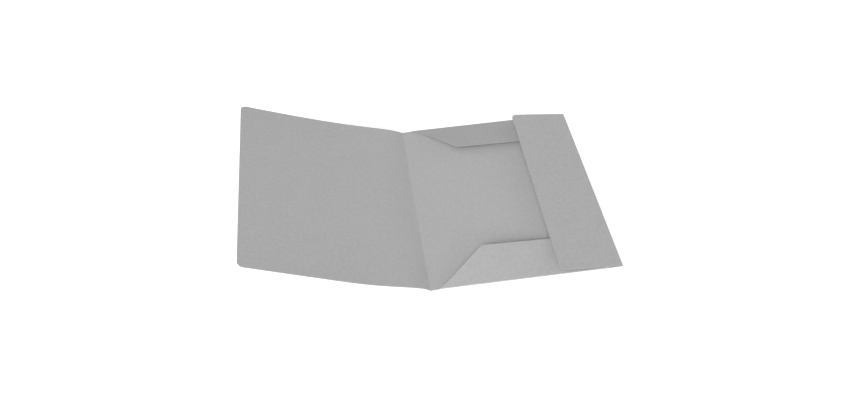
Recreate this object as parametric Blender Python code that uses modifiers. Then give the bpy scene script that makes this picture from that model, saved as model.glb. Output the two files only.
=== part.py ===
"""Three-flap document folder, lying open on a table.

The folder is one die-cut, scored and creased sheet of grey card: a back panel
that lies flat, a front cover turned open to the left of the spine, and three
flaps turned in over the back panel.  Here the sheet is divided at its creases:
each stiff panel is an object, and each crease is a narrow bent strip of card,
a living hinge, between two panels.

Frame: metres, +Z up.  The origin is the centre of the back panel's underside.
+X runs from the spine to the side fold, +Y from the bottom fold to the top
fold.
"""

import math

import bmesh
import bpy

# ---------------------------------------------------------------- dimensions
# sheet
CARD = 0.0005                # thickness of the card
GAP = 0.0003                 # clearance between a panel and its crease strip

# back panel, measured between the crease axes
PANEL_W = 0.250              # spine to side fold
PANEL_H = 0.330              # bottom fold to top fold

# front cover
COVER_L = 0.247              # along the card, from the spine to the outer edge
COVER_CORNER = 0.0085        # radius of the two outer corners
COVER_RISE = math.radians(20.9)    # slope of the outer half above the table
COVER_DIP = math.radians(5.5)      # how much shallower the card runs near DIP_AT
COVER_DIP_AT = 0.047
COVER_DIP_WIDTH = 0.048
COVER_ROOT = math.radians(1.4)     # extra slope right at the crease
COVER_ROOT_LENGTH = 0.030

# top and bottom flaps: trapezoids with both ends cut on the slant
FLAP_DEPTH = 0.060           # fold to free edge
FLAP_INSET = 0.0160          # from the panel's side to the flap, on the fold
FLAP_EDGE_INSET = 0.0760     # the same, on the free edge, for ends cut at 45 degrees

# side flap
SIDE_DEPTH = 0.0820          # fold to free edge
SIDE_CORNER = 0.008          # radius of the two free corners

# how far each flap stands off the back panel at rest
FLAP_LIFT = math.radians(5.8)
SIDE_LIFT = math.radians(5.8)

# creases: outer radius of the bend, which is also the height of its axis
FLAP_BEND = 0.00075
SIDE_BEND = 0.00115          # larger, because this flap closes over the others
SPINE_BEND = 0.00075
CREASE_LEG = 0.0015          # flat run of the strip on each side of the bend
CREASE_STEPS = 14            # facets round a half-turn bend

PANEL_EDGE = CREASE_LEG + GAP      # from a crease axis to the panel beside it

# card colour, linear light
CARD_COLOUR = (0.405, 0.405, 0.405, 1.0)
CREASE_COLOUR = (0.375, 0.375, 0.375, 1.0)

ROOT_NAME = "three_flap_folder"


# -------------------------------------------------------------- scene set-up
for old in list(bpy.data.objects):
    bpy.data.objects.remove(old, do_unlink=True)

parts = bpy.data.collections.new(ROOT_NAME)
bpy.context.scene.collection.children.link(parts)


def card_material(name, colour, roughness):
    material = bpy.data.materials.new(name)
    material.use_nodes = True
    shader = material.node_tree.nodes["Principled BSDF"]
    shader.inputs["Base Color"].default_value = colour
    shader.inputs["Roughness"].default_value = roughness
    shader.inputs["Metallic"].default_value = 0.0
    return material


def add_empty(name, parent=None, location=(0, 0, 0), rotation=(0, 0, 0)):
    empty = bpy.data.objects.new(name, None)
    empty.empty_display_size = 0.02
    parts.objects.link(empty)
    empty.parent = parent
    empty.location = location
    empty.rotation_euler = rotation
    return empty


def add_object(name, data, parent, location=(0, 0, 0)):
    obj = bpy.data.objects.new(name, data)
    parts.objects.link(obj)
    obj.parent = parent
    obj.location = location
    return obj


# ------------------------------------------------------------------- shapes
def flat_plate(name, outline, parent, height):
    """A plate of card cut to an outline, centred at this height in its parent."""
    curve = bpy.data.curves.new(name, "CURVE")
    curve.dimensions = "2D"
    curve.fill_mode = "BOTH"
    curve.extrude = CARD / 2
    spline = curve.splines.new("POLY")
    spline.points.add(len(outline) - 1)
    for point, (x, y) in zip(spline.points, outline):
        point.co = (x, y, 0, 1)
    spline.use_cyclic_u = True
    curve.materials.append(card_material(name + "_card", CARD_COLOUR, 0.9))
    return add_object(name, curve, parent, (0, 0, height))


def corner_arc(centre, radius, start, end, steps=8):
    """Points round a corner, from one angle to another."""
    return [
        (
            centre[0] + radius * math.cos(start + (end - start) * i / steps),
            centre[1] + radius * math.sin(start + (end - start) * i / steps),
        )
        for i in range(steps + 1)
    ]


def thicken(obj):
    solidify = obj.modifiers.new("card_thickness", "SOLIDIFY")
    solidify.thickness = CARD
    solidify.offset = 0.0
    solidify.use_even_offset = True
    return obj


def bent_strip(name, section, length, parent):
    """A crease: a section across the fold, drawn out along it and thickened.

    The section's points are (inward, up) from the crease's axis.
    """
    bm = bmesh.new()
    near = [bm.verts.new((u, -length / 2, w)) for u, w in section]
    edges = [bm.edges.new(pair) for pair in zip(near, near[1:])]
    drawn = bmesh.ops.extrude_edge_only(bm, edges=edges)["geom"]
    far = [v for v in drawn if isinstance(v, bmesh.types.BMVert)]
    bmesh.ops.translate(bm, verts=far, vec=(0, length, 0))
    bmesh.ops.recalc_face_normals(bm, faces=bm.faces)
    mesh = bpy.data.meshes.new(name)
    bm.to_mesh(mesh)
    bm.free()
    mesh.shade_smooth()
    mesh.set_sharp_from_angle(angle=math.radians(40))
    mesh.materials.append(card_material(name + "_card", CREASE_COLOUR, 0.92))
    return thicken(add_object(name, mesh, parent))


def fold_section(bend, turn, leg_direction):
    """Middle line of a crease strip that turns through an angle.

    It starts on the panel, passes under the axis and round its outer side, and
    leaves along leg_direction.
    """
    radius = bend - CARD / 2
    steps = max(3, round(CREASE_STEPS * turn / math.pi))
    points = [(CREASE_LEG, -radius)]
    for i in range(steps + 1):
        angle = -math.pi / 2 - turn * i / steps
        points.append((radius * math.cos(angle), radius * math.sin(angle)))
    u, w = points[-1]
    points.append(
        (u + CREASE_LEG * leg_direction[0], w + CREASE_LEG * leg_direction[1])
    )
    return points


# -------------------------------------------------------------- fold frames
# In each fold's frame +X points in over the panel, +Z up, +Y along the crease.
root = add_empty(ROOT_NAME + "_frame")

fold_top = add_empty(
    "fold_top", root, (0, PANEL_H / 2, FLAP_BEND), (0, 0, -math.pi / 2)
)
fold_bottom = add_empty(
    "fold_bottom", root, (0, -PANEL_H / 2, FLAP_BEND), (0, 0, math.pi / 2)
)
fold_side = add_empty("fold_side", root, (PANEL_W / 2, 0, SIDE_BEND), (0, 0, math.pi))
fold_spine = add_empty("fold_spine", root, (-PANEL_W / 2, 0, SPINE_BEND))

# a flap's own frame turns about its crease, up from the back panel
hinge_top = add_empty("hinge_top", fold_top, rotation=(0, -FLAP_LIFT, 0))
hinge_bottom = add_empty("hinge_bottom", fold_bottom, rotation=(0, -FLAP_LIFT, 0))
hinge_side = add_empty("hinge_side", fold_side, rotation=(0, -SIDE_LIFT, 0))


# --------------------------------------------------------------- back panel
# The panel's corners run out to the fold lines beside the ends of the flaps,
# and between them its edge stops short of the crease strips.
def back_outline():
    left, right = -PANEL_W / 2 + PANEL_EDGE, PANEL_W / 2 - PANEL_EDGE
    ear = PANEL_W / 2 - FLAP_INSET + GAP
    outer, inner = PANEL_H / 2, PANEL_H / 2 - PANEL_EDGE
    upper = [(right, outer), (ear, outer), (ear, inner)]
    upper += [(-ear, inner), (-ear, outer), (left, outer)]
    lower = [(x, -y) for x, y in reversed(upper)]
    return upper + lower


flat_plate("back_panel", back_outline(), root, CARD / 2)


# -------------------------------------------------------------------- flaps
def flap_outline():
    """A trapezoid in the flap's frame: x in from the fold, y along it."""
    half_fold = PANEL_W / 2 - FLAP_INSET
    half_edge = PANEL_W / 2 - FLAP_EDGE_INSET
    slant = (half_fold - half_edge) / FLAP_DEPTH
    half_start = half_fold - slant * PANEL_EDGE
    return [
        (PANEL_EDGE, -half_start),
        (FLAP_DEPTH, -half_edge),
        (FLAP_DEPTH, half_edge),
        (PANEL_EDGE, half_start),
    ]


def side_outline():
    """A long rectangle with its two free corners rounded."""
    half, r = PANEL_H / 2, SIDE_CORNER
    outline = [(PANEL_EDGE, -half)]
    outline += corner_arc((SIDE_DEPTH - r, -half + r), r, -math.pi / 2, 0)
    outline += corner_arc((SIDE_DEPTH - r, half - r), r, 0, math.pi / 2)
    outline.append((PANEL_EDGE, half))
    return outline


flat_plate("top_flap", flap_outline(), hinge_top, FLAP_BEND - CARD / 2)
flat_plate("bottom_flap", flap_outline(), hinge_bottom, FLAP_BEND - CARD / 2)
flat_plate("side_flap", side_outline(), hinge_side, SIDE_BEND - CARD / 2)


# -------------------------------------------------------------------- cover
def cover_slope(s):
    """Slope of the cover at a distance along the card from the crease."""
    dip = COVER_DIP * math.exp(-(((s - COVER_DIP_AT) / COVER_DIP_WIDTH) ** 2))
    return COVER_RISE - dip + COVER_ROOT * math.exp(-s / COVER_ROOT_LENGTH)


def cover_stations():
    """Distances from the crease at which the cover has a row of points."""
    straight, count = COVER_L - COVER_CORNER, 46
    first = PANEL_EDGE
    rows = [first + (straight - first) * i / count for i in range(count + 1)]
    for i in range(1, 9):
        rows.append(straight + COVER_CORNER * math.sin(math.pi / 2 * i / 8))
    return rows


def cover_half_height(s):
    over = max(0.0, s - (COVER_L - COVER_CORNER))
    drop = COVER_CORNER - math.sqrt(max(0.0, COVER_CORNER**2 - over**2))
    return PANEL_H / 2 - drop


def cover_path(distances):
    """Points of the card's middle surface, (x, z) from the spine's axis."""
    radius = SPINE_BEND - CARD / 2
    start = cover_slope(0)
    x, z, s = -radius * math.sin(start), -radius * math.cos(start), 0.0
    path = []
    for target in distances:
        pieces = max(1, math.ceil((target - s) / 0.0005))
        step = (target - s) / pieces
        for _ in range(pieces):
            slope = cover_slope(s + step / 2)
            x -= step * math.cos(slope)
            z += step * math.sin(slope)
            s += step
        path.append((x, z))
    return path


def front_cover():
    """A sheet bowed along its length, with its outer corners rounded off."""
    rows = cover_stations()
    path = cover_path(rows)
    bm = bmesh.new()
    bmesh.ops.create_grid(bm, x_segments=len(rows) - 1, y_segments=1, size=1)
    for vert in bm.verts:
        i = round((1 - vert.co.x) / 2 * (len(rows) - 1))
        side = 1 if vert.co.y > 0 else -1
        x, z = path[i]
        vert.co = (x, side * cover_half_height(rows[i]), z)
    mesh = bpy.data.meshes.new("front_cover")
    bm.to_mesh(mesh)
    bm.free()
    mesh.materials.append(card_material("front_cover_card", CARD_COLOUR, 0.9))
    return thicken(add_object("front_cover", mesh, fold_spine))


front_cover()


# ------------------------------------------------------------------ creases
flap_turn = math.pi - FLAP_LIFT
flap_section = fold_section(
    FLAP_BEND, flap_turn, (math.cos(FLAP_LIFT), math.sin(FLAP_LIFT))
)
flap_crease_length = PANEL_W - 2 * FLAP_INSET
bent_strip("top_flap_crease", flap_section, flap_crease_length, fold_top)
bent_strip("bottom_flap_crease", flap_section, flap_crease_length, fold_bottom)

side_section = fold_section(
    SIDE_BEND, math.pi - SIDE_LIFT, (math.cos(SIDE_LIFT), math.sin(SIDE_LIFT))
)
bent_strip("side_flap_crease", side_section, PANEL_H, fold_side)

spine_turn = cover_slope(0)
spine_section = fold_section(
    SPINE_BEND, spine_turn, (-math.cos(spine_turn), math.sin(spine_turn))
)
bent_strip("spine_crease", spine_section, PANEL_H, fold_spine)

bpy.context.view_layer.update()
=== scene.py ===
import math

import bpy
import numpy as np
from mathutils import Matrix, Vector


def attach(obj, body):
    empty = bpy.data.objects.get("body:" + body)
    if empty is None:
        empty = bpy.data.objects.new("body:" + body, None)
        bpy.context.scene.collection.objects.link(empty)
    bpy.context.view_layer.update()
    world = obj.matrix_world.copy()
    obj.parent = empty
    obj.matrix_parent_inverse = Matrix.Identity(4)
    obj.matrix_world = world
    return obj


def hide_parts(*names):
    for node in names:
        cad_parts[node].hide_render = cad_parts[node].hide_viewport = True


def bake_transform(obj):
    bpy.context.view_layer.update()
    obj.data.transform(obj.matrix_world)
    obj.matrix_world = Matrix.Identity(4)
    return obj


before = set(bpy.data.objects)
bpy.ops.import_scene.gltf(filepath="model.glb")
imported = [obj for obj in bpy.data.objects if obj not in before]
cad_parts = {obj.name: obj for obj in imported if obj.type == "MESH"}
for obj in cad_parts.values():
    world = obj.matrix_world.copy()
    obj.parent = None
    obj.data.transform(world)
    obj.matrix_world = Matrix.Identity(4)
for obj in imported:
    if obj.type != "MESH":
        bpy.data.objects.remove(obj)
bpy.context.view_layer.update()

# The looks of a three-flap card folder that lies open on a pale table.
#
# The folder is one creased sheet of grey card.  Each stiff panel is a finely
# divided mesh with the card's real thickness, rounded cut edges and the slight
# twist that folded card keeps.  Each fold is a bent strip that joins two panels
# without a gap.

# ------------------------------------------------------------------ dimensions
# as in the construction, metres, +Z up, origin under the back panel's centre
CARD = 0.0005
PANEL_W, PANEL_H = 0.250, 0.330
HALF_W, HALF_H = PANEL_W / 2, PANEL_H / 2
COVER_L, COVER_CORNER = 0.247, 0.0085
FLAP_DEPTH = 0.060
SIDE_DEPTH, SIDE_CORNER = 0.0820, 0.008
FLAP_BEND, SIDE_BEND, SPINE_BEND = 0.00075, 0.00115, 0.00075
LEG = 0.0015                 # flat run of a fold strip beside its bend

ROUND = 0.00011              # radius on the arrises of a cut edge

# Folded card springs back unevenly: lift of each flap, in degrees, in the
# middle and how much it changes towards the end at +X or +Y.  The side flap presses on
# the ends at +X, so there the change stops and the flap lies slightly lower.
TOP_LIFT = (6.36, -2.82)
BOTTOM_LIFT = (6.50, -4.98)
SIDE_LIFT = (5.33, 1.37)
HELD, PRESSED = 0.50, 0.30

# Slope of the cover along the card, in degrees, at its near and far edges:
# final rise, dip, place and width of the dip.
COVER_NEAR = (21.64, 6.90, 0.0435, 0.0432)
COVER_FAR = (21.42, 5.93, 0.0197, 0.0997)
# Extra slope beside the spine and how far from the spine it is greatest, at the near
# edge, in the middle and at the far edge: the ends of the crease are bent more sharply.
COVER_ROOT = ((14.5, 0.0024), (3.75, 0.020), (10.5, 0.0075))
COVER_CREST = 0.65           # how much of the middle's rise is towards the far edge
# The spine is bent softly: this share of the slope is in the crease itself, and the rest
# builds up over a few millimetres of the cover: (in the middle, change to far).
SPINE_SHARE, SPINE_SOFT = 0.2, (0.0017, -0.0005)
# the cover's outer edge isn't quite parallel to the spine: (middle, change to far)
COVER_REACH = (0.24775, 0.00105)

PANEL_CROWN = 0.0005         # rise of the back panel's middle off the table

# The ends of the top and bottom flaps are cut at about 45 degrees and widen by a flare
# where they meet their folds: (slant, flare).
FLAP_START = 0.0122          # from the spine or the side fold to the end of a flap's fold
TOP_CUT, BOTTOM_CUT, FLARE_DEPTH = (0.94, 0.0064), (1.02, 0.0026), 0.006
# how far the cut edge beside the spine stands out, at the spine and at the flap's
# fold, at the near end and the far end
EARS = ((0.0014, 0.0007), (0.0, 0.0007))


# ------------------------------------------------------------------- materials
class Graph:
    """Small helper for building a node tree from plain expressions."""

    def __init__(self, tree):
        self.tree = tree
        self.tree.nodes.clear()

    def node(self, kind, **settings):
        made = self.tree.nodes.new(kind)
        for key, value in settings.items():
            setattr(made, key, value)
        return made

    def feed(self, socket, value):
        if isinstance(value, bpy.types.NodeSocket):
            self.tree.links.new(value, socket)
        else:
            socket.default_value = value

    def math(self, operation, a, b=0.0, clamp=False):
        made = self.node("ShaderNodeMath", operation=operation, use_clamp=clamp)
        self.feed(made.inputs[0], a)
        self.feed(made.inputs[1], b)
        return made.outputs[0]

    def remap(self, value, low, high, to_low, to_high, smooth=False):
        made = self.node("ShaderNodeMapRange", clamp=True)
        made.interpolation_type = "SMOOTHSTEP" if smooth else "LINEAR"
        self.feed(made.inputs["Value"], value)
        for name, number in (
            ("From Min", low), ("From Max", high), ("To Min", to_low), ("To Max", to_high)
        ):
            made.inputs[name].default_value = number
        return made.outputs["Result"]

    def mapping(self, vector, scale, rotation=(0, 0, 0), location=(0, 0, 0)):
        made = self.node("ShaderNodeMapping")
        self.feed(made.inputs["Vector"], vector)
        made.inputs["Scale"].default_value = scale
        made.inputs["Rotation"].default_value = rotation
        made.inputs["Location"].default_value = location
        return made.outputs["Vector"]

    def noise(self, vector, scale, detail=2.0, roughness=0.5, distortion=0.0):
        made = self.node("ShaderNodeTexNoise", noise_dimensions="3D")
        self.feed(made.inputs["Vector"], vector)
        made.inputs["Scale"].default_value = scale
        made.inputs["Detail"].default_value = detail
        made.inputs["Roughness"].default_value = roughness
        made.inputs["Distortion"].default_value = distortion
        return made.outputs[0]

    def cells(self, vector, scale):
        made = self.node("ShaderNodeTexVoronoi", feature="F1")
        self.feed(made.inputs["Vector"], vector)
        made.inputs["Scale"].default_value = scale
        return made.outputs["Distance"], made.outputs["Color"]


def card_material(name, tone, worn_and_shaded=0.015, mottle=0.060, bump=0.35):
    """Uncoated grey pulp card: cloudy mottle, fibres, a few flecks, and marked places: lighter where worn
    when the amount is positive, painted shade when it is negative.
    """
    material = bpy.data.materials.new(name)
    material.use_nodes = True
    g = Graph(material.node_tree)
    out = g.node("ShaderNodeOutputMaterial")
    shader = g.node("ShaderNodeBsdfPrincipled")
    g.tree.links.new(shader.outputs["BSDF"], out.inputs["Surface"])
    place = g.node("ShaderNodeTexCoord").outputs["Object"]

    # pulp: soft clouds a few centimetres across, mottle of about 3 mm, grain
    cloud = g.remap(g.noise(place, 26.0, 2.0), 0.3, 0.7, -1.0, 1.0)
    blotch = g.remap(g.noise(place, 240.0, 3.0, 0.6), 0.28, 0.72, -1.0, 1.0)
    grain = g.remap(g.noise(place, 1500.0, 2.0, 0.6), 0.25, 0.75, -1.0, 1.0)

    # fibres: two directions of thin streaks, felted together
    streaks = []
    for turn, shift in ((0.35, 0.0), (1.75, 3.1), (2.6, 7.7)):
        laid = g.mapping(place, (420.0, 4200.0, 1500.0), (0, 0, turn), (shift,) * 3)
        streaks.append(g.noise(laid, 1.0, 1.0, 0.5, 0.6))
    felt = g.math("MAXIMUM", g.math("MAXIMUM", streaks[0], streaks[1]), streaks[2])
    fibre = g.remap(felt, 0.55, 0.8, 0.0, 1.0, smooth=True)

    # flecks: specks of paler and darker pulp in some of the cells
    distance, chance = g.cells(place, 210.0)
    split = g.node("ShaderNodeSeparateColor")
    g.feed(split.inputs[0], chance)
    speck = g.remap(distance, 0.10, 0.22, 1.0, 0.0, smooth=True)
    pale = g.math("MULTIPLY", speck, g.math("GREATER_THAN", split.outputs[0], 0.80))
    dark = g.math("MULTIPLY", speck, g.math("LESS_THAN", split.outputs[1], 0.12))

    # marked places: rubbed edges of the panels, and painted shade on the outside of the folds
    wear_and_bend_shade = g.node("ShaderNodeAttribute", attribute_type="GEOMETRY", attribute_name="wear_and_bend_shade")
    rubbed_and_bend_shade = g.math(
        "MULTIPLY", wear_and_bend_shade.outputs["Fac"], g.remap(blotch, -0.8, 0.8, 0.35, 1.0)
    )

    level = g.math("MULTIPLY_ADD", blotch, mottle)
    level.node.inputs[2].default_value = 1.0
    for value, amount in (
        (cloud, 0.007), (grain, 0.018), (fibre, 0.030), (pale, 0.075), (dark, -0.085),
        (rubbed_and_bend_shade, worn_and_shaded),
    ):
        step = g.math("MULTIPLY_ADD", value, amount)
        g.feed(step.node.inputs[2], level)
        level = step
    grey = g.math("MULTIPLY", level, tone)
    g.feed(shader.inputs["Base Color"], grey)

    rough = g.math("MULTIPLY_ADD", grain, 0.035)
    g.feed(rough.node.inputs[2], g.math("MULTIPLY_ADD", fibre, -0.05))
    rough.node.inputs[2].links[0].from_node.inputs[2].default_value = 0.93
    g.feed(shader.inputs["Roughness"], rough)
    shader.inputs["Specular IOR Level"].default_value = 0.22

    relief = g.math("MULTIPLY_ADD", fibre, 0.55)
    g.feed(relief.node.inputs[2], g.math("MULTIPLY", grain, 0.30))
    relief = g.math("ADD", relief, g.math("MULTIPLY", blotch, 0.25))
    bumped = g.node("ShaderNodeBump")
    bumped.inputs["Strength"].default_value = bump
    bumped.inputs["Distance"].default_value = 0.00006
    g.feed(bumped.inputs["Height"], relief)
    g.feed(shader.inputs["Normal"], bumped.outputs["Normal"])
    return material


TONE = 0.392
INNER = card_material("card_inner_side", TONE)
OUTER = card_material("card_outer_side", TONE * 0.95)
# cut edges: darker than the faces, partly the card's own core tone and partly painted shade for the shadow
# lines along the edges
EDGE = card_material("card_cut_edge_painted_shade", TONE * 0.82, worn_and_shaded=0.0, mottle=0.04, bump=0.6)
# the folds' outer side: its negative amount paints shade on the outside of each bend
CREASE_WITH_PAINTED_SHADE = card_material("card_fold_outer_side_painted_shade", TONE * 0.95, worn_and_shaded=-0.09)


# ---------------------------------------------------------------- card meshes
# profile of a cut edge from the top arris to the bottom one: (out, up)
RIM = [
    (0.0, CARD / 2),
    (ROUND * math.sin(math.pi / 4), CARD / 2 - ROUND * (1 - math.cos(math.pi / 4))),
    (ROUND, CARD / 2 - ROUND),
    (ROUND, -CARD / 2 + ROUND),
    (ROUND * math.sin(math.pi / 4), -CARD / 2 + ROUND * (1 - math.cos(math.pi / 4))),
    (0.0, -CARD / 2),
]


def card_piece(name, middle, up, top, bottom, present=None, joined=None, wear_and_bend_shade=None):
    """A closed piece of card.

    middle: grid of points on the card's middle surface.  up: the unit normals
    there.  top and bottom: the materials of the two faces.  present: which cells
    of the grid exist.  joined: tells whether a border edge, given by its two grid
    places, meets another piece, so that it is left square and not rounded.
    """
    nu, nv = middle.shape[:2]
    if present is None:
        present = np.ones((nu - 1, nv - 1), bool)
    if joined is None:
        joined = lambda a, b: False
    if wear_and_bend_shade is None:
        wear_and_bend_shade = np.zeros((nu, nv))

    used = np.zeros((nu, nv), bool)
    for di in (0, 1):
        for dj in (0, 1):
            used[di:nu - 1 + di, dj:nv - 1 + dj] |= present
    number = np.full((nu, nv), -1)
    number[used] = np.arange(used.sum())
    count = int(used.sum())

    i, j = np.argwhere(present)[len(np.argwhere(present)) // 2]
    across = np.cross(middle[i + 1, j] - middle[i, j], middle[i, j + 1] - middle[i, j])
    turned = float(across @ up[i, j]) < 0

    points = list(middle[used] + up[used] * CARD / 2)
    points += list(middle[used] - up[used] * CARD / 2)
    worn_and_shaded = list(wear_and_bend_shade[used]) * 2
    faces, slots, border = [], [], {}
    for i, j in np.argwhere(present):
        loop = [(i, j), (i + 1, j), (i + 1, j + 1), (i, j + 1)]
        if turned:
            loop.reverse()
        ids = [int(number[place]) for place in loop]
        faces.append(ids)
        slots.append(0)
        faces.append([k + count for k in reversed(ids)])
        slots.append(1)
        for a, b in zip(loop, loop[1:] + loop[:1]):
            if (b, a) in border:
                del border[(b, a)]
            else:
                border[(a, b)] = True

    onward = {a: b for a, b in border}
    back = {b: a for a, b in border}
    outward = {}
    for a, b in border:
        run = middle[b] - middle[a]
        side = np.cross(run / np.linalg.norm(run), (up[a] + up[b]) / 2)
        outward[(a, b)] = side / np.linalg.norm(side)

    rings, hard = {}, []
    for place in onward:
        before, after = (back[place], place), (place, onward[place])
        loose = [e for e in (before, after) if not joined(*e)]
        if len(loose) == 2:
            one, two = outward[before], outward[after]
            push = (one + two) / max(0.35, 1 + float(one @ two))
            corner = float(one @ two) < 0.9
        elif loose:
            push, corner = outward[loose[0]], True
        else:
            push, corner = np.zeros(3), False
        ring = [int(number[place])]
        for out, rise in RIM[1:-1]:
            ring.append(len(points))
            points.append(middle[place] + push * out + up[place] * rise)
            worn_and_shaded.append(1.0)
        ring.append(int(number[place]) + count)
        rings[place] = ring
        if corner:
            hard += list(zip(ring, ring[1:]))
    for a, b in border:
        ra, rb = rings[a], rings[b]
        hard += [(ra[0], rb[0]), (ra[-1], rb[-1])]
        for k in range(len(RIM) - 1):
            faces.append([ra[k], ra[k + 1], rb[k + 1], rb[k]])
            slots.append(2)

    mesh = bpy.data.meshes.new(name)
    mesh.from_pydata([tuple(map(float, p)) for p in points], [], faces)
    for material in (top, bottom, EDGE):
        mesh.materials.append(material)
    mesh.polygons.foreach_set("material_index", slots)
    mesh.shade_smooth()
    hard = {tuple(sorted(pair)) for pair in hard}
    keys = np.empty(len(mesh.edges) * 2, np.int32)
    mesh.edges.foreach_get("vertices", keys)
    sharp = [tuple(sorted(map(int, pair))) in hard for pair in keys.reshape(-1, 2)]
    mesh.attributes.new("sharp_edge", "BOOLEAN", "EDGE").data.foreach_set("value", sharp)
    # the marks per point: rubbed edges, and painted shade at the folds
    mesh.attributes.new("wear_and_bend_shade", "FLOAT", "POINT").data.foreach_set("value", worn_and_shaded)
    mesh.validate()
    mesh.update()
    obj = bpy.data.objects.new(name, mesh)
    bpy.context.scene.collection.objects.link(obj)
    return obj


def rows(start, end, near_start, near_end, step):
    """Places from start to end: close together at the ends, then about a step apart."""
    length = end - start
    low = [d for d in near_start if d < length * 0.4]
    high = [length - d for d in near_end if d < length * 0.4]
    first = low[-1] if low else 0.0
    last = min(high) if high else length
    middle = list(np.linspace(first, last, max(2, round((last - first) / step) + 1)))
    inner = [0.0] + low + middle[1:-1] + sorted(high) + [length]
    return np.array([start + d for d in inner])


EDGE_ROWS = (0.0003, 0.0009, 0.002, 0.004)
FOLD_ROWS = (0.0005, 0.0012, 0.0025, 0.005)
SPINE_ROWS = (0.0005, 0.0011, 0.0018, 0.0027, 0.0038, 0.0052, 0.007, 0.0095)


def worn_by(distance):
    return np.exp(-np.maximum(distance, 0.0) / 0.0011)


def degrees(pair, along):
    return np.radians(pair[0] + pair[1] * along)


def stand_out(y, distance):
    """Move the card's cut edge out beside the spine, at a distance from the spine."""
    inner = HALF_H - LEG
    share = np.clip((np.abs(y) - inner) / (LEG - ROUND), 0, 1)
    along = np.clip(distance / FLAP_START, 0, 1)
    near, far = [
        np.where(distance < 0, start * (1 - np.clip(-distance / FLAP_START, 0, 1)) ** 2,
                 start + (end - start) * along)
        for start, end in EARS
    ]
    return y + share * np.where(y < 0, -near, far)


# --------------------------------------------------------------------- cover
def cover_slope(s, v):
    """Slope of the cover at distance s along the card, v from -1 near to 1 far."""
    ends = []
    for rise, dip, at, width in (COVER_NEAR, COVER_FAR):
        ends.append(rise - dip * np.exp(-(((s - at) / width) ** 2)))
    k = (v + 1) / 2
    steady = ends[0] * (1 - k) + ends[1] * k
    built = 1 - (1 - SPINE_SHARE) * np.exp(-s / (SPINE_SOFT[0] + SPINE_SOFT[1] * v))
    near, middle, far = [root * s / peak * np.exp(1 - s / peak) for root, peak in COVER_ROOT]
    crest = (1 - v**2) * (1 + COVER_CREST * v)
    return np.radians(steady * built + middle * crest + np.where(v < 0, near, far) * v**2)


def cover_points(distances, places):
    """Middle surface of the cover: grids of points and normals, in world metres."""
    radius = SPINE_BEND - CARD / 2
    start = cover_slope(0.0, places)
    x = -HALF_W - radius * np.sin(start)
    z = SPINE_BEND - radius * np.cos(start)
    reach = (COVER_REACH[0] + COVER_REACH[1] * places - LEG) / (COVER_L - LEG)
    s, xs, zs, slopes = 0 * places, [], [], []
    for distance in distances:
        target = distance if distance <= LEG else LEG + (distance - LEG) * reach
        pieces = max(1, math.ceil(float(np.max(target - s)) / 0.00025))
        step = (target - s) / pieces
        for _ in range(pieces):
            slope = cover_slope(s + step / 2, places)
            x = x - step * np.cos(slope)
            z = z + step * np.sin(slope)
            s = s + step
        xs.append(x.copy())
        zs.append(z.copy())
        slopes.append(cover_slope(s, places))
    return np.array(xs), np.array(zs), np.array(slopes)


def along_edge():
    """Places along an edge of the panel's height, -1 to 1."""
    return rows(-1, 1, [d / HALF_H for d in EDGE_ROWS], [d / HALF_H for d in EDGE_ROWS],
                0.0055 / HALF_H)


def front_cover():
    straight = COVER_L - COVER_CORNER
    distances = list(rows(LEG, straight, SPINE_ROWS, (), 0.0045))
    inner = COVER_CORNER - ROUND
    for i in range(1, 11):
        distances.append(straight + inner * math.sin(math.pi / 2 * i / 10))
    distances = np.array(distances)
    places = along_edge()
    xs, zs, slopes = cover_points(distances, places)
    over = np.maximum(0.0, distances - straight)
    half = HALF_H - ROUND - inner + np.sqrt(np.maximum(0.0, inner**2 - over**2))
    ys = half[:, None] * places[None, :]
    middle = np.stack([xs, stand_out(ys, -distances[:, None]), zs], -1)
    up = np.stack([np.sin(slopes), np.zeros_like(slopes), np.cos(slopes)], -1)
    gap = np.minimum(half[:, None] - np.abs(ys), (COVER_L - distances)[:, None] + 0 * ys)
    return card_piece(
        "front_cover_card", middle, up, INNER, OUTER,
        joined=lambda a, b: a[0] == 0 and b[0] == 0, wear_and_bend_shade=worn_by(gap),
    )


def spine_strip():
    """The bend between the back panel and the cover."""
    radius = SPINE_BEND - CARD / 2
    places = along_edge()
    ys = (HALF_H - ROUND) * places
    turn = cover_slope(0.0, places)
    columns, normals = [], []
    beside = (0.0001, 0.0002, 0.00035, 0.0005, 0.0009, LEG)
    for inward in reversed(beside):
        columns.append((np.full_like(ys, -HALF_W + inward), np.full_like(ys, SPINE_BEND - radius)))
        normals.append(np.zeros_like(ys))
    steps = 3
    for i in range(steps + 1):
        angle = turn * i / steps
        columns.append((-HALF_W - radius * np.sin(angle), SPINE_BEND - radius * np.cos(angle)))
        normals.append(angle)
    xs, zs, slopes = cover_points(np.array(beside), places)
    for x, z, slope in zip(xs, zs, slopes):
        columns.append((x, z))
        normals.append(slope)
    middle = np.array([
        np.stack([x, stand_out(ys, x + HALF_W), z], -1) for x, z in columns
    ])
    up = np.array([np.stack([np.sin(a), 0 * a, np.cos(a)], -1) for a in normals])
    last = len(columns) - 1
    wear_and_bend_shade = np.full(middle.shape[:2], 0.25)
    return card_piece(
        "spine_fold_card", middle, up, INNER, OUTER,
        joined=lambda a, b: a[0] == b[0] and a[0] in (0, last), wear_and_bend_shade=wear_and_bend_shade,
    )


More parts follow.
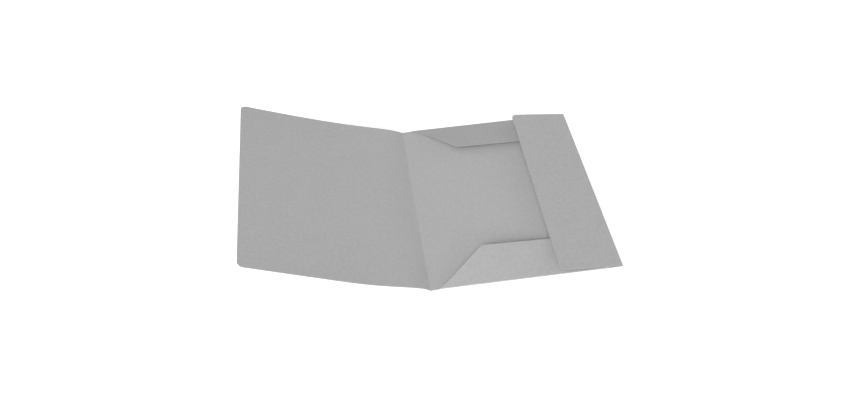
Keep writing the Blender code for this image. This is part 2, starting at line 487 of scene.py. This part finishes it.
# ---------------------------------------------------------------- back panel
def back_panel():
    edge = HALF_W - LEG
    ear = HALF_W - FLAP_START
    xs = np.concatenate([
        rows(-edge, -ear, FOLD_ROWS, (0.0005,), 0.003)[:-1],
        rows(-ear, ear, (0.0005,), (0.0005,), 0.0055),
        rows(ear, edge, (0.0005,), FOLD_ROWS, 0.003)[1:],
    ])
    inner = HALF_H - LEG
    tips = [inner, inner + 0.0005, HALF_H - 0.0004, HALF_H - ROUND]
    ys = np.concatenate([
        [-t for t in reversed(tips)][:-1],
        rows(-inner, inner, FOLD_ROWS, FOLD_ROWS, 0.0055),
        tips[1:],
    ])
    gx, gy = np.meshgrid(xs, ys, indexing="ij")
    fall = np.clip(1 - (gx / edge) ** 2, 0, 1) ** 2 * np.clip(1 - (gy / inner) ** 2, 0, 1) ** 2
    out = np.where(gx < -ear + 1e-6, stand_out(gy, gx + HALF_W), gy)
    middle = np.stack([gx, out, CARD / 2 + PANEL_CROWN * fall], -1)
    up = np.zeros_like(middle)
    up[..., 2] = 1.0
    cx, cy = (xs[1:] + xs[:-1]) / 2, (ys[1:] + ys[:-1]) / 2
    present = (np.abs(cx)[:, None] > ear) | (np.abs(cy)[None, :] < inner)

    def joined(a, b):
        x = (xs[a[0]] + xs[b[0]]) / 2
        y = (ys[a[1]] + ys[b[1]]) / 2
        return abs(y) < HALF_H - ROUND - 1e-7

    gap = np.where(np.abs(gx) >= ear - 1e-9, HALF_H - np.abs(gy), 1.0)
    return card_piece(
        "back_panel_card", middle, up, INNER, OUTER, present, joined, worn_by(gap)
    )


# --------------------------------------------------------------------- flaps
def flap_half(depth, cut):
    """Half length of a top or bottom flap at a depth in from its fold."""
    slant, flare = cut
    depth = np.maximum(depth, 0)
    inset = FLAP_START + flare * (1 - np.exp(-depth / FLARE_DEPTH)) + slant * depth
    return HALF_W - inset - ROUND * math.hypot(1, slant)


def flap_lift(lifts, x):
    """Lift of a top or bottom flap, in radians, at a place along its fold."""
    along = x / HALF_W
    level = -np.log(np.exp(-12 * along) + np.exp(-12 * HELD)) / 12
    under = np.clip((along - 0.24) / 0.16, 0, 1)
    return np.radians(lifts[0] + lifts[1] * level - PRESSED * under**2 * (3 - 2 * under))


def flap_places():
    return rows(-1, 1, (0.003, 0.009, 0.02), (0.003, 0.009, 0.02), 0.05)


def flap_at(side, lift, x, depth, normal):
    """A point of the top (side 1) or bottom (-1) flap, and the way its face looks."""
    inward = depth * np.cos(lift) - normal * np.sin(lift)
    rise = depth * np.sin(lift) + normal * np.cos(lift)
    point = np.stack([x, side * (HALF_H - inward), FLAP_BEND + rise], -1)
    up = np.stack([0 * x, side * np.sin(lift), np.cos(lift)], -1)
    return point, up


def end_flap(name, side, lifts, cut):
    depths = rows(LEG, FLAP_DEPTH - ROUND, FOLD_ROWS, EDGE_ROWS, 0.0045)
    places = flap_places()
    d, v = np.meshgrid(depths, places, indexing="ij")
    x = flap_half(d, cut) * v
    lift = flap_lift(lifts, x)
    middle, up = flap_at(side, lift, x, d, FLAP_BEND - CARD / 2)
    gap = np.minimum((flap_half(d, cut) - np.abs(x)) / math.sqrt(2), FLAP_DEPTH - d)
    return card_piece(
        name, middle, up, OUTER, INNER,
        joined=lambda a, b: a[0] == 0 and b[0] == 0, wear_and_bend_shade=worn_by(gap),
    )


def bend_path(bend, lift, steps=26):
    """Middle line of a fold that turns back over itself: (in, up, normal angle, depth).

    It runs out along the panel, round the bend and in along the flap.  The normal
    angle is 0 where the inner side of the card looks straight up.
    """
    radius = bend - CARD / 2
    path = [(inward + 0 * lift, -radius + 0 * lift, 0 * lift, -inward) for inward in (LEG, 0.0009, 0.0004)]
    for i in range(steps + 1):
        angle = (math.pi - lift) * i / steps
        path.append((-radius * np.sin(angle), -radius * np.cos(angle), angle, 0.0))
    for depth in (0.0004, 0.0009, LEG):
        path.append((
            depth * np.cos(lift) - radius * np.sin(lift),
            depth * np.sin(lift) + radius * np.cos(lift),
            math.pi - lift, depth,
        ))
    return path


def bend_shade_mask(shape):
    """Mark across a fold, most at the outside of the bend: painted shade on the fold's outer side, a slight
    rubbed lightening on its inner side.
    """
    across = np.sin(np.pi * np.clip((np.arange(shape[0]) - 3) / (shape[0] - 7), 0, 1))
    return np.repeat(across[:, None], shape[1], 1)


def end_strip(name, side, lifts, cut):
    """The bend between the back panel and the top or bottom flap."""
    places = flap_places()
    middle, up = [], []
    for k, depth in enumerate([p[3] for p in bend_path(FLAP_BEND, np.zeros(1))]):
        x = flap_half(depth, cut) * places
        lift = flap_lift(lifts, x)
        inward, rise, angle, _ = bend_path(FLAP_BEND, lift)[k]
        middle.append(np.stack([x, side * (HALF_H - inward), FLAP_BEND + rise], -1))
        up.append(np.stack([0 * x, -side * np.sin(angle), np.cos(angle)], -1))
    middle, up = np.array(middle), np.array(up)
    last, flat = len(middle) - 1, 3

    def joined(a, b):
        across = a[0] == b[0] and a[0] in (0, last)
        return across or (a[1] == b[1] and max(a[0], b[0]) <= flat)

    # the outer side of the bend carries painted shade, darkest at the outside of the bend
    return card_piece(name, middle, up, INNER, CREASE_WITH_PAINTED_SHADE, joined=joined,
                      wear_and_bend_shade=bend_shade_mask(middle.shape[:2]))


def side_flap():
    straight = SIDE_DEPTH - SIDE_CORNER
    depths = list(rows(LEG, straight, FOLD_ROWS, (), 0.0045))
    inner = SIDE_CORNER - ROUND
    for i in range(1, 11):
        depths.append(straight + inner * math.sin(math.pi / 2 * i / 10))
    depths = np.array(depths)
    over = np.maximum(0.0, depths - straight)
    half = HALF_H - ROUND - inner + np.sqrt(np.maximum(0.0, inner**2 - over**2))
    places = along_edge()
    d = depths[:, None] + 0 * places[None, :]
    y = half[:, None] * places[None, :]
    lift = degrees(SIDE_LIFT, y / HALF_H)
    normal = SIDE_BEND - CARD / 2
    inward = d * np.cos(lift) - normal * np.sin(lift)
    rise = d * np.sin(lift) + normal * np.cos(lift)
    middle = np.stack([HALF_W - inward, y, SIDE_BEND + rise], -1)
    up = np.stack([np.sin(lift), 0 * y, np.cos(lift)], -1)
    gap = np.minimum(half[:, None] - np.abs(y), SIDE_DEPTH - d)
    return card_piece(
        "side_flap_card", middle, up, OUTER, INNER,
        joined=lambda a, b: a[0] == 0 and b[0] == 0, wear_and_bend_shade=worn_by(gap),
    )


def side_strip():
    """The bend between the back panel and the side flap."""
    y = (HALF_H - ROUND) * along_edge()
    lift = degrees(SIDE_LIFT, y / HALF_H)
    middle, up = [], []
    for inward, rise, angle, _ in bend_path(SIDE_BEND, lift):
        middle.append(np.stack([HALF_W - inward, y, SIDE_BEND + rise], -1))
        up.append(np.stack([-np.sin(angle), 0 * y, np.cos(angle)], -1))
    middle, up = np.array(middle), np.array(up)
    last = len(middle) - 1
    # the outer side of the bend carries painted shade, darkest at the outside of the bend
    return card_piece(
        "side_fold_card", middle, up, INNER, CREASE_WITH_PAINTED_SHADE,
        joined=lambda a, b: a[0] == b[0] and a[0] in (0, last),
        wear_and_bend_shade=bend_shade_mask(middle.shape[:2]),
    )


# ------------------------------------------------------------------ the folder
for piece, body, node in (
    (back_panel(), "back", "back_panel"),
    (front_cover(), "cover", "front_cover"),
    (end_flap("top_flap_card", 1, TOP_LIFT, TOP_CUT), "top", "top_flap"),
    (end_flap("bottom_flap_card", -1, BOTTOM_LIFT, BOTTOM_CUT), "bottom", "bottom_flap"),
    (side_flap(), "side", "side_flap"),
):
    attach(piece, body)
    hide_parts(node)

# Each bend stays fixed where it is built and stands in for the construction's crease piece, which is hidden.
for piece, body, node, start, end in (
    (spine_strip(), "cover", "spine_crease",
     (-HALF_W + 0.0004, 0, 0), (-HALF_W - 0.0004, 0, 0)),
    (end_strip("top_fold_card", 1, TOP_LIFT, TOP_CUT), "top", "top_flap_crease",
     (0, HALF_H, CARD + 0.00001), (0, HALF_H, 2 * FLAP_BEND - CARD - 0.00001)),
    (end_strip("bottom_fold_card", -1, BOTTOM_LIFT, BOTTOM_CUT), "bottom", "bottom_flap_crease",
     (0, -HALF_H, CARD + 0.00001), (0, -HALF_H, 2 * FLAP_BEND - CARD - 0.00001)),
    (side_strip(), "side", "side_flap_crease",
     (HALF_W, 0, CARD + 0.00001), (HALF_W, 0, 2 * SIDE_BEND - CARD - 0.00002)),
):
    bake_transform(piece)
    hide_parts(node)


# ------------------------------------------------------------------- the stage
def floor_material():
    material = bpy.data.materials.new("pale_floor")
    material.use_nodes = True
    shader = material.node_tree.nodes["Principled BSDF"]
    shader.inputs["Base Color"].default_value = (0.84, 0.84, 0.84, 1)
    shader.inputs["Roughness"].default_value = 0.95
    shader.inputs["Specular IOR Level"].default_value = 0.0
    shader.inputs["Emission Color"].default_value = (1, 1, 1, 1)
    shader.inputs["Emission Strength"].default_value = 0.39
    return material


floor_mesh = bpy.data.meshes.new("floor")
reach = 40.0
floor_mesh.from_pydata(
    [(-reach, -reach, -0.0006), (reach, -reach, -0.0006), (reach, reach, -0.0006), (-reach, reach, -0.0006)],
    [], [(0, 1, 2, 3)],
)
floor_mesh.materials.append(floor_material())
floor = bpy.data.objects.new("floor", floor_mesh)
bpy.context.scene.collection.objects.link(floor)

# a white wall far from the folder on every side, so that a low view has no dark horizon;
# it is plain background, and neither lights nor shades anything
wall_material = bpy.data.materials.new("white_wall")
wall_material.use_nodes = True
shader = wall_material.node_tree.nodes["Principled BSDF"]
shader.inputs["Base Color"].default_value = (0.84, 0.84, 0.84, 1)
shader.inputs["Emission Color"].default_value = (1, 1, 1, 1)
shader.inputs["Emission Strength"].default_value = 1.0
wall_mesh = bpy.data.meshes.new("wall")
turns = [2 * math.pi * i / 64 for i in range(64)]
wall_mesh.from_pydata(
    [(14 * math.cos(a), 14 * math.sin(a), z) for z in (-0.01, 8.0) for a in turns],
    [], [(i, (i + 1) % 64, 64 + (i + 1) % 64, 64 + i) for i in range(64)],
)
wall_mesh.materials.append(wall_material)
wall = bpy.data.objects.new("wall", wall_mesh)
wall.visible_diffuse = wall.visible_glossy = wall.visible_shadow = False
wall.visible_transmission = wall.visible_volume_scatter = False
bpy.context.scene.collection.objects.link(wall)

# soft light: an even dome, and wide sources mostly from the front and left
world = bpy.data.worlds.new("studio")
world.use_nodes = True
dome = world.node_tree.nodes["Background"]
dome.inputs["Color"].default_value = (1, 1, 1, 1)
dome.inputs["Strength"].default_value = 0.25
bpy.context.scene.world = world

# height and direction in degrees (0 from the front, 90 from the right), width, strength
SOURCES = (
    (22, 315, 26, 0.438),
    (42, 324, 34, 0.427),
    (8, 30, 16, 0.314),
    (22, 345, 26, 0.255),
    (8, 120, 16, 0.193),
    (8, 90, 16, 0.165),
    (42, 0, 34, 0.162),
    (22, 225, 26, 0.113),
    (8, 300, 16, 0.083),
    (42, 216, 34, 0.059),
)
for k, (height, turn, width, strength) in enumerate(SOURCES):
    h, t = math.radians(height), math.radians(turn)
    toward = Vector((math.sin(t) * math.cos(h), -math.cos(t) * math.cos(h), math.sin(h)))
    lamp_data = bpy.data.lights.new(f"soft_{k}", "SUN")
    lamp_data.energy = math.pi * strength
    lamp_data.angle = math.radians(width)
    lamp = bpy.data.objects.new(f"soft_{k}", lamp_data)
    lamp.rotation_mode = "QUATERNION"
    lamp.rotation_quaternion = toward.to_track_quat("Z", "Y")
    lamp.location = toward * 3.0
    bpy.context.scene.collection.objects.link(lamp)


# ------------------------------------------------------------------ the camera
def turned_camera(azimuth, elevation, roll, place, lens):
    az, el, ro = map(math.radians, (azimuth, elevation, roll))
    ahead = Vector((-math.sin(az) * math.cos(el), math.cos(az) * math.cos(el), -math.sin(el)))
    right = Vector((math.cos(az), math.sin(az), 0))
    above = right.cross(ahead)
    x = math.cos(ro) * right + math.sin(ro) * above
    y = -math.sin(ro) * right + math.cos(ro) * above
    data = bpy.data.cameras.new("camera")
    data.sensor_fit = "HORIZONTAL"
    data.sensor_width = 36.0
    data.lens = lens
    data.clip_start, data.clip_end = 0.01, 200.0
    camera = bpy.data.objects.new("camera", data)
    turn = Matrix((x, y, -ahead)).transposed().to_4x4()
    camera.matrix_world = Matrix.Translation(place) @ turn
    bpy.context.scene.collection.objects.link(camera)
    return camera


bpy.context.scene.camera = turned_camera(
    -4.906, 42.421, -3.410, (-0.1913, -0.9580, 0.8747), 36 * 922.0 / 854
)
bpy.context.scene.view_settings.view_transform = "Standard"
bpy.context.scene.view_settings.look = "None"
